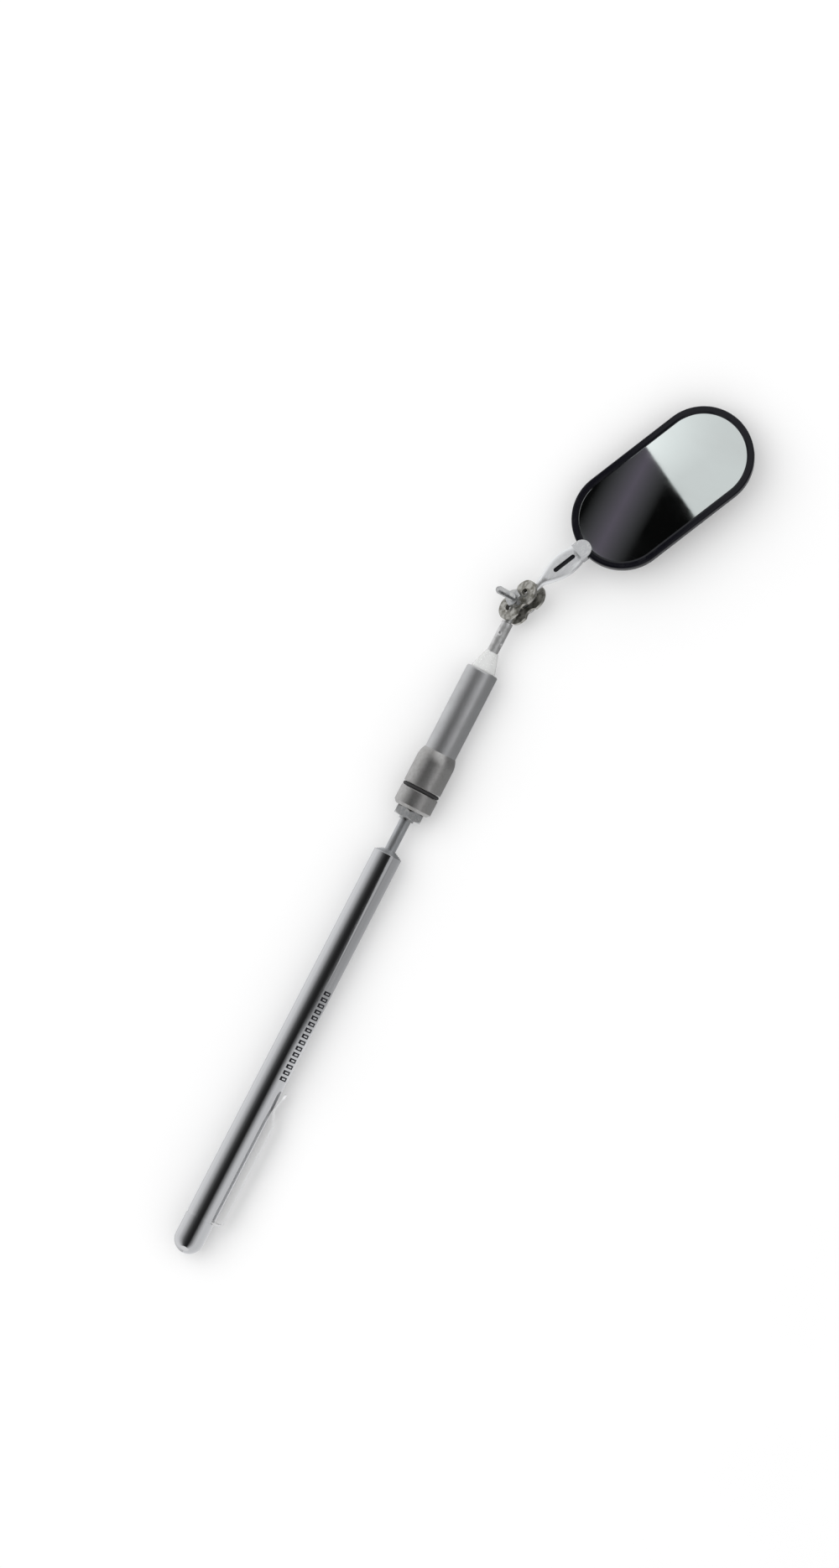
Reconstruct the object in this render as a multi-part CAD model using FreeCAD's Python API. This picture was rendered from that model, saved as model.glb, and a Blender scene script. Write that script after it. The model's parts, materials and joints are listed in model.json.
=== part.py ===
import FreeCAD, Part
import math
import os

# Telescoping inspection mirror with a pen-light head.
# The tool's own line lies along +X, from the domed end cap to the mirror, and the
# pocket clip and the mirror's bend are on the -Y side. All sizes are millimetres.

vector = FreeCAD.Vector
AXIS = vector(1, 0, 0)
UP = vector(0, 0, 1)

# ---------------------------------------------------------------- driving sizes

# Telescope
handle_radius = 3.725        # outside of the largest tube
handle_tube_length = 101.3
tube_wall = 0.25
tube_gap = 0.21              # radial space between one tube and the next
stage_count = 4              # tubes that slide inside the handle tube
mouth_length = 1.2           # rolled-in lip at the open end of each tube
mouth_stagger = 0.25         # how far each mouth stands out of the one around it
mouth_edge = 0.12            # rounding of a mouth's outer edge
bushing_length = 6.0
bushing_split = 0.7
rod_showing = 10.1           # rod between the handle's mouth and the nut, closed
stage_end_gap = 0.3          # free space between the end cap's plug and the tubes

# End cap and pocket clip
cap_length = 10.4
cap_overhang = 0.07          # cap radius above the tube's
cap_plug_length = 3.2
cap_edge = 0.25
cap_neck_drop = 0.2          # neck round the clip's slot, below the cap's outside
clip_thickness = 0.5
clip_width = 3.6
clip_standoff = 2.05         # clip's middle line above the tube, along its straight run
clip_tab_depth = 1.5         # how far the clip's tab reaches into the cap
clip_straight_end = 27.9     # end of the straight run, from the seam
clip_touch = 31.4            # where the clip comes down on the tube, from the seam
clip_tip = 36.2              # tip, from the seam
clip_tip_lift = 0.95         # tip's middle line above the touching line
clip_root_bend = 0.9
clip_long_bend = 4.0
clip_slot_clearance = 0.14
clip_rest_gap = 0.05

# Light head
nut_thickness = 2.3
nut_across_flats = 7.0
nut_boss_radius = 1.95
nut_boss_length = 0.6
collar_wall = 0.835          # collar radius above the head tube's
tail_cap_length = 4.9
tail_cap_chamfer = 0.8
seal_gap = 1.1               # groove between the two collars
seal_drop = 0.1              # seal's outside below the collars'
switch_collar_length = 9.9
switch_taper_length = 3.4
head_radius = 4.165
head_wall = 0.35
head_showing = 23.1
head_rim_round = 0.5
head_rim_thickness = 0.5
spigot_length = 2.9          # threaded spigot, past the seal
spigot_drop = 0.115          # spigot radius below the head tube's
spigot_pocket_radius = 2.9
spigot_pocket_depth = 1.5
rod_socket_depth = 6.6       # how far the rod is screwed into the tail cap
cell_length = 2.6
cell_count = 3
cell_gap = 0.02
cell_step = 0.5              # height of a cell's smaller end
sleeve_wall = 0.33
spring_wire = 0.4
spring_radius = 2.2
spring_pitch = 0.95
rim_lip = 0.565              # how far the rolled rim comes in from the bore
cone_tip_radius = 1.68
cone_length = 5.2
cone_flange_length = 2.0
cone_wall = 0.7              # light guide's wall where it is hollow
anchor_length = 5.0
anchor_setback = 7.2         # from the head tube's rim back to the anchor's face
board_thickness = 0.8
board_setback = 4.8          # from the rim back to the board's front
lead_radius = 0.22
resistor_radius = 0.75
resistor_length = 2.8
led_size = 1.4
led_height = 0.6
led_count = 4
contact_thickness = 0.4

# Ball joint
ball_rod_radius = 1.45
ball_rod_showing = 11.8      # from the nose cone's tip to the first ball's centre
dent_radius = 0.9
dent_depth = 0.22
ball_radius = 1.75
neck_radius = 0.95
stud_radius = 0.8
stud_depth = 1.0             # how far a stud reaches past the ball's centre
ball_to_screw = 0.15         # space between a ball and the screw
neck_side_gap = 0.35         # space between a neck and each plate
plate_thickness = 0.8
plate_rim = 1.45             # plate round a ball, past the ball
plate_waist = 2.3            # half-width of a plate at its middle
dome_wall = 0.75
dome_hole_radius = 0.85
clamp_lean = 20.0            # plan angle from the tool's line to the plates
clamp_roll = 45.0            # the screw's tip stands up at this angle
screw_radius = 1.0
screw_length = 12.0
screw_head_radius = 1.9
screw_head_height = 1.25
thread_pitch = 0.4
thread_depth = 0.14
clamp_nut_flats = 4.0
clamp_nut_thickness = 1.6
washer_radius = 2.2
washer_thickness = 0.3
neck_showing = 1.0           # neck between the plates and the stem

# Mirror
bend_angle = 25.0            # plan angle from the tool's line to the mirror's
mirror_tilt = 10.0           # mirror turned about its own long line
stem_length = 12.9
stem_widest = 3.0            # half-width of the stem's leaf
stem_end_half_width = 2.3
stem_half_thickness = 1.3
stem_slot_length = 6.5
stem_slot_width = 1.1
stem_slot_centre = 7.4
stem_slot_floor = 0.2        # metal left above the stem's middle, under its slot
tongue_thickness = 0.5
front_tongue_length = 2.5
back_tongue_length = 9.5
rivet_radius = 0.6
rivet_head_radius = 1.05
rivet_spacing = 3.4
mirror_length = 50.8
mirror_width = 25.4
frame_wall = 1.0
frame_lip = 1.85             # bezel seen from the front
frame_edge = 0.6
lip_thickness = 0.8
lip_bevel = 0.5
glass_thickness = 1.5
pad_thickness = 0.4
back_plate_thickness = 0.5

# Clearances
running_clearance = 0.04     # between parts that slide or turn on each other
seat_clearance = 0.03        # between a ball and its seats
thread_clearance = 0.03      # plain cylinders stand in for threads
fitting_gap = 0.05           # loose parts that are held between others

# ------------------------------------------------------------ positions along X

seam_x = cap_length
mouth_x = seam_x + handle_tube_length
stages_start_x = seam_x + cap_plug_length + stage_end_gap
nut_x = mouth_x + rod_showing
tail_x = nut_x + nut_thickness
seal_x = tail_x + tail_cap_length
switch_x = seal_x + seal_gap
switch_end_x = switch_x + switch_collar_length
spigot_end_x = switch_x + spigot_length
head_start_x = spigot_end_x + 4 * fitting_gap
rim_x = switch_end_x + head_showing
cone_tip_x = rim_x + cone_length
first_ball_x = cone_tip_x + ball_rod_showing
anchor_end_x = rim_x - anchor_setback
board_front_x = rim_x - board_setback

collar_radius = head_radius + collar_wall
head_bore = head_radius - head_wall
rim_bore = head_bore - rim_lip
cone_base_radius = rim_bore - fitting_gap
lead_circle = (head_bore + ball_rod_radius) / 2
spigot_radius = head_radius - spigot_drop
cap_radius = handle_radius + cap_overhang
cell_radius = head_bore - sleeve_wall - 2 * fitting_gap
ball_spacing = 2 * (ball_radius + ball_to_screw + screw_radius)
plate_half_gap = neck_radius + neck_side_gap
plate_end_radius = ball_radius + plate_rim
neck_length = plate_end_radius + neck_showing
washer_height = plate_half_gap + plate_thickness
mirror_thickness = lip_thickness + glass_thickness + pad_thickness + back_plate_thickness


def stage_radius(stage):
    """Outer radius of a telescope tube: 0 is the handle, the last one is the rod."""
    return handle_radius - stage * (tube_wall + tube_gap)


def stage_mouth_x(stage):
    return mouth_x + stage * mouth_stagger


rod_radius = stage_radius(stage_count + 1)

# ---------------------------------------------------------------- shape helpers


def rounded_wire(corners, closed=True):
    """Straight runs joined by tangent arcs. Each corner is (point, arc radius)."""
    count = len(corners)
    starts = []
    ends = []
    for index, (point, radius) in enumerate(corners):
        inner = closed or 0 < index < count - 1
        if radius == 0 or not inner:
            starts.append(point)
            ends.append(point)
            continue
        back = (corners[index - 1][0] - point).normalize()
        ahead = (corners[(index + 1) % count][0] - point).normalize()
        half = back.getAngle(ahead) / 2
        reach = radius / math.tan(half)
        starts.append(point + back * reach)
        ends.append(point + ahead * reach)
    edges = []
    for index, (point, radius) in enumerate(corners):
        if not starts[index].isEqual(ends[index], 1e-9):
            bisector = ((starts[index] + ends[index]) * 0.5 - point).normalize()
            half = (starts[index] - point).getAngle(bisector)
            middle = point + bisector * (radius / math.sin(half) - radius)
            edges.append(Part.Arc(starts[index], middle, ends[index]).toShape())
        following = (index + 1) % count
        if following == 0 and not closed:
            break
        if not ends[index].isEqual(starts[following], 1e-9):
            edges.append(Part.LineSegment(ends[index], starts[following]).toShape())
    return Part.Wire(edges)


def turned(profile):
    """Solid of revolution about X from (x, radius) or (x, radius, corner) points."""
    corners = []
    for entry in profile:
        corner = entry[2] if len(entry) == 3 else 0
        corners.append((vector(entry[0], entry[1], 0), corner))
    face = Part.Face(rounded_wire(corners))
    return face.revolve(vector(0, 0, 0), AXIS, 360)


def rod_between(start_x, end_x, radius, y=0, z=0):
    return Part.makeCylinder(radius, end_x - start_x, vector(start_x, y, z), AXIS)


def ring_between(start_x, end_x, outer, inner):
    return rod_between(start_x, end_x, outer).cut(rod_between(start_x, end_x, inner))


def hexagon(across_flats, height, base, direction):
    """Hexagonal prism with its corners rounded off like a nut's."""
    corner = across_flats / math.sqrt(3)
    points = []
    for step in range(7):
        angle = math.radians(60 * step)
        points.append(vector(corner * math.cos(angle), corner * math.sin(angle), 0))
    prism = Part.Face(Part.makePolygon(points)).extrude(vector(0, 0, height))
    bevel = corner - across_flats / 2
    cone_low = Part.makeCone(corner - bevel, corner - bevel + height, height)
    cone_high = Part.makeCone(corner - bevel + height, corner - bevel, height)
    prism = prism.common(cone_low).common(cone_high)
    prism.Placement = FreeCAD.Placement(base, FreeCAD.Rotation(UP, direction))
    return prism


def slab(length, width, low, high, centre_x=0):
    """Flat piece with half-round ends, long way along X, between two heights."""
    radius = width / 2
    reach = length / 2 - radius
    corners = [
        vector(centre_x - reach, -radius, low),
        vector(centre_x + reach, -radius, low),
        vector(centre_x + reach + radius, 0, low),
        vector(centre_x + reach, radius, low),
        vector(centre_x - reach, radius, low),
        vector(centre_x - reach - radius, 0, low),
    ]
    edges = [
        Part.LineSegment(corners[0], corners[1]).toShape(),
        Part.Arc(corners[1], corners[2], corners[3]).toShape(),
        Part.LineSegment(corners[3], corners[4]).toShape(),
        Part.Arc(corners[4], corners[5], corners[0]).toShape(),
    ]
    return Part.Face(Part.Wire(edges)).extrude(vector(0, 0, high - low))


def edges_at_height(shape, height):
    """Edges that lie flat at a height of the shape's own Z."""
    found = []
    for edge in shape.Edges:
        box = edge.BoundBox
        if abs(box.ZMin - height) < 1e-4 and abs(box.ZMax - height) < 1e-4:
            found.append(edge)
    return found


def placed(shape, origin, along, across, normal):
    """Move a shape from its own axes to the given origin and axes."""
    rotation = FreeCAD.Rotation(along, across, normal, "XYZ")
    moved = shape.copy()
    moved.Placement = FreeCAD.Placement(origin, rotation).multiply(shape.Placement)
    return moved


# ------------------------------------------------- telescope: tubes and bushings


def telescope_tube(stage, start_x):
    outer = stage_radius(stage)
    bore = outer - tube_wall
    lip = stage_radius(stage + 1) + running_clearance
    end_x = stage_mouth_x(stage)
    return turned([
        (start_x, bore),
        (end_x - mouth_length, bore),
        (end_x - mouth_length + tube_gap, lip),
        (end_x, lip),
        (end_x, outer, mouth_edge),
        (start_x, outer),
    ])


def telescope_bushing(stage, inner):
    """Split bronze sleeve that runs in the tube around this stage."""
    outer = stage_radius(stage - 1) - tube_wall - running_clearance
    end_x = stages_start_x + bushing_length
    sleeve = ring_between(stages_start_x, end_x, outer, inner)
    slot = Part.makeBox(
        bushing_length + 2, outer + 1, bushing_split,
        vector(stages_start_x - 1, 0, -bushing_split / 2))
    return sleeve.cut(slot)


def handle_tube():
    return telescope_tube(0, seam_x)


def rod():
    groove = rod_radius - tube_gap
    groove_end = stages_start_x + bushing_length + running_clearance
    return turned([
        (stages_start_x - stage_end_gap / 2, 0),
        (stages_start_x - stage_end_gap / 2, rod_radius),
        (stages_start_x - running_clearance, rod_radius),
        (stages_start_x - running_clearance, groove),
        (groove_end, groove),
        (groove_end, rod_radius),
        (tail_x + rod_socket_depth, rod_radius),
        (tail_x + rod_socket_depth, 0),
    ])


# ------------------------------------------------------- end cap and pocket clip

tab_x = seam_x - clip_slot_clearance - clip_thickness / 2
clip_slot_start = tab_x - clip_thickness / 2 - clip_slot_clearance
tab_inner_radius = cap_radius - clip_tab_depth


def end_cap():
    dome = math.sqrt(0.5) * cap_radius
    plug = handle_radius - tube_wall
    plug_end = seam_x + cap_plug_length
    edges = [
        Part.Arc(vector(0, 0, 0), vector(cap_radius - dome, dome, 0),
                 vector(cap_radius, cap_radius, 0)).toShape(),
    ]
    outline = [
        vector(cap_radius, cap_radius, 0),
        vector(clip_slot_start, cap_radius, 0),
        vector(clip_slot_start, cap_radius - cap_neck_drop, 0),
        vector(seam_x, cap_radius - cap_neck_drop, 0),
        vector(seam_x, plug, 0),
        vector(plug_end - cap_edge, plug, 0),
        vector(plug_end, plug - cap_edge, 0),
        vector(plug_end, 0, 0),
        vector(0, 0, 0),
    ]
    for start, end in zip(outline, outline[1:]):
        edges.append(Part.LineSegment(start, end).toShape())
    body = Part.Face(Part.Wire(edges)).revolve(vector(0, 0, 0), AXIS, 360)
    half_width = clip_width / 2 + clip_slot_clearance
    bottom = tab_inner_radius - clip_slot_clearance
    slot = Part.makeBox(
        seam_x - clip_slot_start, 2 * cap_radius, 2 * half_width,
        vector(clip_slot_start, -bottom - 2 * cap_radius, -half_width))
    return body.cut(slot)


def pocket_clip():
    """Spring strip, seen along Z as one bent line of even thickness."""
    half = clip_thickness / 2
    run = handle_radius + clip_standoff
    touch = handle_radius + clip_rest_gap + half
    centre_line = rounded_wire([
        (vector(tab_x, -tab_inner_radius - half, 0), 0),
        (vector(tab_x, -run, 0), clip_root_bend),
        (vector(seam_x + clip_straight_end, -run, 0), clip_long_bend),
        (vector(seam_x + clip_touch, -touch, 0), clip_long_bend / 2),
        (vector(seam_x + clip_tip, -touch - clip_tip_lift, 0), 0),
    ], closed=False)
    outline = centre_line.makeOffset2D(half, 0, False, False, False)
    strip = Part.Face(outline).extrude(vector(0, 0, clip_width))
    strip.translate(vector(0, 0, -clip_width / 2))
    tip_x = seam_x + clip_tip + half
    rounding = Part.makeCylinder(
        clip_width / 2, 4 * cap_radius,
        vector(tip_x - clip_width / 2, 0, 0), vector(0, -1, 0))
    keep = Part.makeBox(
        tip_x - clip_width / 2, 4 * cap_radius, clip_width,
        vector(0, -4 * cap_radius, -clip_width / 2))
    return strip.common(rounding.fuse(keep))


# -------------------------------------------------------------------- light head


def tail_nut():
    nut = hexagon(nut_across_flats, nut_thickness, vector(nut_x, 0, 0), AXIS)
    boss = rod_between(nut_x - nut_boss_length, nut_x, nut_boss_radius)
    bore = rod_between(nut_x - 1, tail_x, rod_radius + thread_clearance)
    return nut.fuse(boss).cut(bore).removeSplitter()


seal_radius = (seal_gap - 2 * fitting_gap) / 2
seal_centre_radius = collar_radius - seal_drop - seal_radius
seal_seat_radius = seal_centre_radius - seal_radius - fitting_gap
pocket_x = spigot_end_x - spigot_pocket_depth


def tail_cap():
    body = turned([
        (tail_x, 0),
        (tail_x, collar_radius - tail_cap_chamfer),
        (tail_x + tail_cap_chamfer, collar_radius),
        (seal_x, collar_radius, 0.2),
        (seal_x, seal_seat_radius),
        (switch_x, seal_seat_radius),
        (switch_x, spigot_radius),
        (spigot_end_x, spigot_radius, 0.2),
        (spigot_end_x, spigot_pocket_radius),
        (pocket_x, spigot_pocket_radius),
        (pocket_x, 0),
    ])
    socket_end = tail_x + rod_socket_depth + fitting_gap
    return body.cut(rod_between(tail_x - 1, socket_end, rod_radius + thread_clearance))


def seal_ring():
    return Part.makeTorus(
        seal_centre_radius, seal_radius,
        vector(seal_x + seal_gap / 2, 0, 0), AXIS)


def switch_collar():
    spigot_bore = spigot_radius + running_clearance
    taper_x = switch_end_x - switch_taper_length
    end_radius = head_radius + 0.1
    corners = [
        vector(switch_x, spigot_bore, 0),
        vector(switch_x, collar_radius - 0.2, 0),
        vector(switch_x + 0.2, collar_radius, 0),
        vector(taper_x, collar_radius, 0),
    ]
    shoulder = vector(switch_end_x, end_radius, 0)
    bulge = vector(
        taper_x + switch_taper_length * 0.6,
        end_radius + (collar_radius - end_radius) * 0.72, 0)
    rest = [
        shoulder,
        vector(switch_end_x, head_radius, 0),
        vector(head_start_x, head_radius, 0),
        vector(head_start_x, spigot_bore, 0),
        corners[0],
    ]
    edges = []
    for start, end in zip(corners, corners[1:]):
        edges.append(Part.LineSegment(start, end).toShape())
    edges.append(Part.Arc(corners[-1], bulge, shoulder).toShape())
    for start, end in zip(rest, rest[1:]):
        edges.append(Part.LineSegment(start, end).toShape())
    return Part.Face(Part.Wire(edges)).revolve(vector(0, 0, 0), AXIS, 360)


def head_tube():
    return turned([
        (head_start_x, head_bore),
        (rim_x - head_rim_thickness, head_bore, 0.1),
        (rim_x - head_rim_thickness, rim_bore),
        (rim_x, rim_bore, 0.15),
        (rim_x, head_radius, head_rim_round),
        (head_start_x, head_radius),
    ])


spring_start_x = pocket_x + fitting_gap + spring_wire / 2
cells_x = head_start_x + 1.9
cells_end_x = cells_x + cell_count * (cell_length + cell_gap)
contact_x = cells_end_x + fitting_gap
leads_start_x = contact_x + contact_thickness
board_back_x = board_front_x - board_thickness
anchor_start_x = anchor_end_x - anchor_length


def contact_spring():
    span = cells_x - fitting_gap - spring_wire / 2 - spring_start_x
    helix = Part.makeHelix(spring_pitch, span, spring_radius)
    section = Part.Wire(Part.makeCircle(
        spring_wire / 2, vector(spring_radius, 0, 0), vector(0, 1, 0)))
    coil = Part.Wire(helix).makePipeShell([section], True, True)
    coil.rotate(vector(0, 0, 0), vector(0, 1, 0), 90)
    coil.translate(vector(spring_start_x, 0, 0))
    return coil


def button_cells():
    cells = []
    for index in range(cell_count):
        start = cells_x + index * (cell_length + cell_gap)
        cells.append(turned([
            (start, 0),
            (start, cell_radius - 0.5),
            (start + cell_step, cell_radius - 0.5),
            (start + cell_step, cell_radius),
            (start + cell_length, cell_radius, 0.2),
            (start + cell_length, 0),
        ]))
    return Part.makeCompound(cells)


def battery_sleeve():
    outer = head_bore - fitting_gap
    return ring_between(cells_x - 0.6, cells_end_x, outer, outer - sleeve_wall)


def front_contact():
    return rod_between(contact_x, leads_start_x, head_bore - sleeve_wall)


def lead_spots():
    return [(lead_circle, 0), (-lead_circle, 0)]


def rod_anchor():
    body = rod_between(anchor_start_x, anchor_end_x, head_bore)
    body = body.cut(rod_between(anchor_start_x - 1, anchor_end_x + 1, ball_rod_radius))
    for y, z in lead_spots():
        body = body.cut(rod_between(
            anchor_start_x - 1, anchor_end_x + 1, lead_radius + fitting_gap, y, z))
    return body


resistor_x = (leads_start_x + anchor_start_x - resistor_length) / 2


def led_leads():
    """Two leads from the contact to the board. One is broken by the resistor."""
    wires = []
    first, second = lead_spots()
    pieces = [
        (leads_start_x, resistor_x, first),
        (resistor_x + resistor_length, board_back_x, first),
        (leads_start_x, board_back_x, second),
    ]
    for start, end, (y, z) in pieces:
        wires.append(rod_between(start, end, lead_radius, y, z))
    return Part.makeCompound(wires)


def resistor():
    y, z = lead_spots()[0]
    body = rod_between(resistor_x, resistor_x + resistor_length, resistor_radius, y, z)
    return body.makeFillet(0.2, body.Edges)


def led_board():
    return ring_between(
        board_back_x, board_front_x, head_bore - fitting_gap,
        ball_rod_radius + 2 * fitting_gap)


def leds():
    """Small lamps round the rod, each a square package with a domed window."""
    packages = []
    for index in range(led_count):
        package = Part.makeBox(
            led_height, led_size, led_size,
            vector(board_front_x, lead_circle - led_size / 2, -led_size / 2))
        window = Part.makeSphere(
            led_size * 0.4, vector(board_front_x + led_height, lead_circle, 0))
        package = package.fuse(window)
        package.rotate(vector(0, 0, 0), AXIS, 45 + 360 * index / led_count)
        packages.append(package)
    return Part.makeCompound(packages)


def nose_cone():
    """Clear light guide: a flange held by the rim, and a hollow cone to the rod."""
    flange_end = rim_x - head_rim_thickness - fitting_gap
    flange_start = flange_end - cone_flange_length
    bore = ball_rod_radius + fitting_gap
    return turned([
        (flange_start, cone_base_radius - cone_wall),
        (flange_start, head_bore - fitting_gap),
        (flange_end, head_bore - fitting_gap),
        (flange_end, cone_base_radius),
        (rim_x + 0.4, cone_base_radius, 0.3),
        (cone_tip_x, cone_tip_radius),
        (cone_tip_x, bore),
        (cone_tip_x - 1.6, bore),
        (rim_x, cone_base_radius - cone_wall),
    ])


def ball_rod():
    shoulder_x = first_ball_x - plate_end_radius - 0.25
    ball_face_x = first_ball_x - ball_radius - fitting_gap
    stud_end_x = first_ball_x + stud_depth
    body = turned([
        (anchor_start_x, 0),
        (anchor_start_x, ball_rod_radius),
        (shoulder_x, ball_rod_radius, 0.25),
        (shoulder_x, neck_radius),
        (ball_face_x, neck_radius),
        (ball_face_x, stud_radius),
        (stud_end_x, stud_radius),
        (stud_end_x, 0),
    ])
    height = ball_rod_radius + dent_radius - dent_depth
    for distance, turn in ((2.3, 50), (5.0, -20)):
        dent = Part.makeSphere(dent_radius, vector(0, 0, height))
        dent.rotate(vector(0, 0, 0), AXIS, turn)
        dent.translate(vector(cone_tip_x + distance, 0, 0))
        body = body.cut(dent)
    return body


# -------------------------------------------------------------------- ball joint
# The plates' line, the screw's line and the necks are worked out here. Both necks
# lie in the gap between the plates, which is square to the screw's line.

screw_line = vector(
    0, math.cos(math.radians(clamp_roll)), math.sin(math.radians(clamp_roll)))
lean = math.tan(math.radians(clamp_lean))
plates_line = vector(
    1, -lean, lean / math.tan(math.radians(clamp_roll))).normalize()
plates_side = screw_line.cross(plates_line)

first_ball = vector(first_ball_x, 0, 0)
second_ball = first_ball + plates_line * ball_spacing
clamp_centre = first_ball + plates_line * (ball_spacing / 2)

bend = math.radians(bend_angle)
mirror_line = vector(math.cos(bend), -math.sin(bend), 0)
neck_line = (mirror_line - screw_line * mirror_line.dot(screw_line)).normalize()
stem_start = second_ball + neck_line * neck_length

tilt = math.radians(mirror_tilt)
level_side = UP.cross(mirror_line)
mirror_side = level_side * math.cos(tilt) - UP * math.sin(tilt)
mirror_normal = UP * math.cos(tilt) + level_side * math.sin(tilt)
mirror_centre = stem_start + mirror_line * (stem_length + mirror_length / 2)


def ball_with_socket(centre, direction):
    """Ball bored for the stud that carries it; direction is the way the stud comes."""
    bore = stud_radius + seat_clearance
    bottom = -stud_depth - fitting_gap
    mouth = vector(math.sqrt(ball_radius ** 2 - bore ** 2), bore, 0)
    pole = vector(-ball_radius, 0, 0)
    corners = [mouth, vector(bottom, bore, 0), vector(bottom, 0, 0), pole]
    edges = [Part.Arc(pole, vector(0, ball_radius, 0), mouth).toShape()]
    for start, end in zip(corners, corners[1:]):
        edges.append(Part.LineSegment(start, end).toShape())
    ball = Part.Face(Part.Wire(edges)).revolve(vector(0, 0, 0), AXIS, 360)
    across = direction.cross(screw_line)
    return placed(ball, centre, direction, across, direction.cross(across))


def rod_ball():
    return ball_with_socket(first_ball, AXIS * -1)


def mirror_ball():
    return ball_with_socket(second_ball, neck_line)


def clamp_plate(side):
    """One of the two pressed plates. Side is +1 at the nut and -1 at the head."""
    inner = plate_half_gap
    outer = plate_half_gap + plate_thickness
    plate = slab(
        ball_spacing + 2 * plate_end_radius, 2 * plate_end_radius, inner, outer)
    waist_radius = ball_spacing * 0.4
    for across in (-1, 1):
        plate = plate.cut(Part.makeCylinder(
            waist_radius, plate_thickness + 2,
            vector(0, across * (plate_waist + waist_radius), inner - 1)))
    dome_radius = ball_radius + seat_clearance + dome_wall
    above = Part.makeBox(
        4 * ball_spacing, 4 * ball_spacing, dome_radius,
        vector(-2 * ball_spacing, -2 * ball_spacing, inner))
    for along in (-0.5, 0.5):
        centre = vector(along * ball_spacing, 0, 0)
        plate = plate.fuse(Part.makeSphere(dome_radius, centre).common(above))
    for along in (-0.5, 0.5):
        centre = vector(along * ball_spacing, 0, 0)
        plate = plate.cut(Part.makeSphere(ball_radius + seat_clearance, centre))
        plate = plate.cut(Part.makeCylinder(dome_hole_radius, 4 * outer, centre))
    plate = plate.cut(Part.makeCylinder(screw_radius + 2 * fitting_gap, 4 * outer))
    seat = Part.makeCylinder(
        washer_radius + fitting_gap, dome_radius, vector(0, 0, outer))
    plate = plate.cut(seat).removeSplitter()
    if side > 0:
        return placed(plate, clamp_centre, plates_line, plates_side, screw_line)
    return placed(plate, clamp_centre, plates_line, plates_side * -1, screw_line * -1)


def on_screw(shape):
    """Place a piece that was drawn about X, with X = 0 at the clamp's middle."""
    return placed(shape, clamp_centre, screw_line, plates_line, plates_side)


def clamp_screw():
    under_head = -plate_half_gap - plate_thickness - fitting_gap
    tip = under_head + screw_length
    thread_start = washer_height + washer_thickness + clamp_nut_thickness
    profile = [
        (under_head - screw_head_height, 0),
        (under_head - screw_head_height, screw_head_radius, 0.5),
        (under_head, screw_head_radius, 0.1),
        (under_head, screw_radius),
        (thread_start, screw_radius),
    ]
    turns = int((tip - 0.3 - thread_start) / thread_pitch)
    for index in range(turns):
        start = thread_start + index * thread_pitch
        profile.append((start + thread_pitch / 2, screw_radius - thread_depth))
        profile.append((start + thread_pitch, screw_radius))
    profile.append((tip, screw_radius - 0.35))
    profile.append((tip, 0))
    body = turned(profile)
    slot = Part.makeBox(
        0.6, 2 * screw_head_radius + 2, 0.5,
        vector(under_head - screw_head_height, -screw_head_radius - 1, -0.25))
    return on_screw(body.cut(slot))


def clamp_washer():
    return on_screw(ring_between(
        washer_height, washer_height + washer_thickness, washer_radius,
        screw_radius + thread_clearance))


def clamp_nut():
    start = washer_height + washer_thickness
    nut = hexagon(
        clamp_nut_flats, clamp_nut_thickness, vector(start, 0, 0), AXIS)
    bore = rod_between(
        start - 1, start + clamp_nut_thickness + 1, screw_radius + thread_clearance)
    return on_screw(nut.cut(bore))


# ------------------------------------------------------------------------ mirror
# These pieces are drawn with X along the mirror's long line and Z along its
# normal, and then placed. The stem has X = 0 where its neck ends.


def on_mirror(shape):
    return placed(shape, mirror_centre, mirror_line, mirror_side, mirror_normal)


def on_stem(shape):
    return placed(shape, stem_start, mirror_line, mirror_side, mirror_normal)


def stem_section(distance, half_width, half_thickness):
    ring = Part.Ellipse(vector(0, 0, 0), half_width, half_thickness).toShape()
    ring = placed(
        Part.Wire(ring), vector(distance, 0, 0), vector(0, 1, 0), vector(0, 0, 1), AXIS)
    return ring


half_frame = mirror_thickness / 2


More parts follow.
